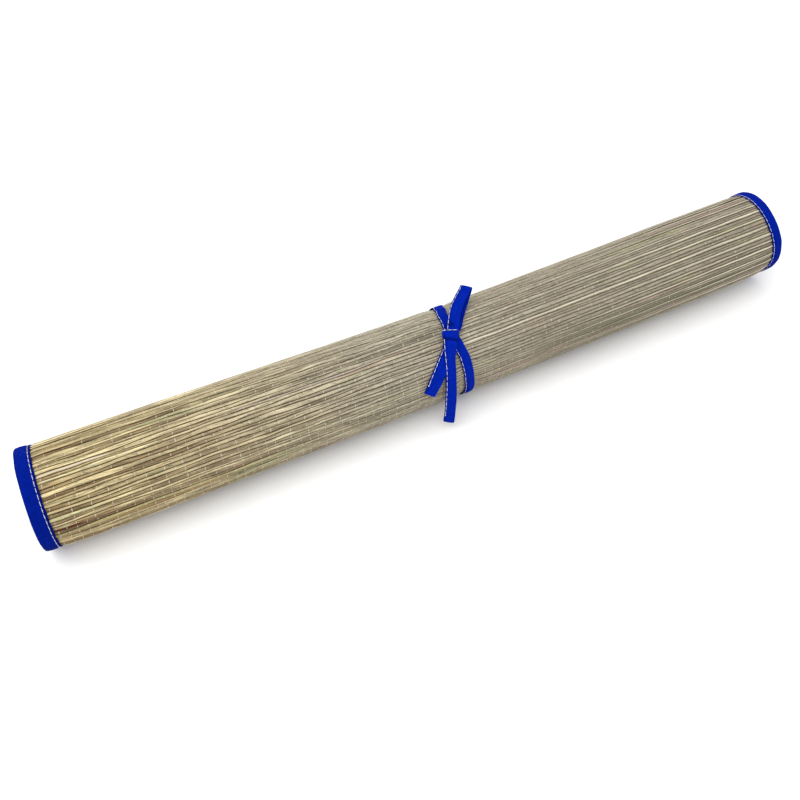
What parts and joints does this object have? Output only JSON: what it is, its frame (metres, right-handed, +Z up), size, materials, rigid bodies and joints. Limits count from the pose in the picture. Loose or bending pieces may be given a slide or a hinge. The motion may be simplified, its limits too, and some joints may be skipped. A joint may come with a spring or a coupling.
{
  "type": "rolled pandanus mat",
  "caption": "Mat woven of fine dried splints and wound into a tight roll, its ends edged with cloth binding, tied round its middle with a narrow tape in a half bow.",
  "frame": {"origin": "centre of the roll's bounding box, free tape ends left out, at the level of the surface it rests on", "axes": "+X along the roll, to the right as seen from the front, +Z up, the knot on the upper front, which faces -Y"},
  "size_m": [0.6087, 0.0847, 0.0782],
  "materials": {
    "reed": "dry splints, straw yellow to grey green, woven on thin pale threads",
    "blue_cotton": "matt plain-weave cotton tape, royal blue",
    "white_thread": "twisted white sewing thread"
  },
  "bodies": {
    "root": {"mat_roll": "reed", "binding_left": "blue_cotton", "binding_right": "blue_cotton", "tie": "blue_cotton", "tie_tail_long": "blue_cotton", "tie_tail_short": "blue_cotton"}
  },
  "joints": []
}
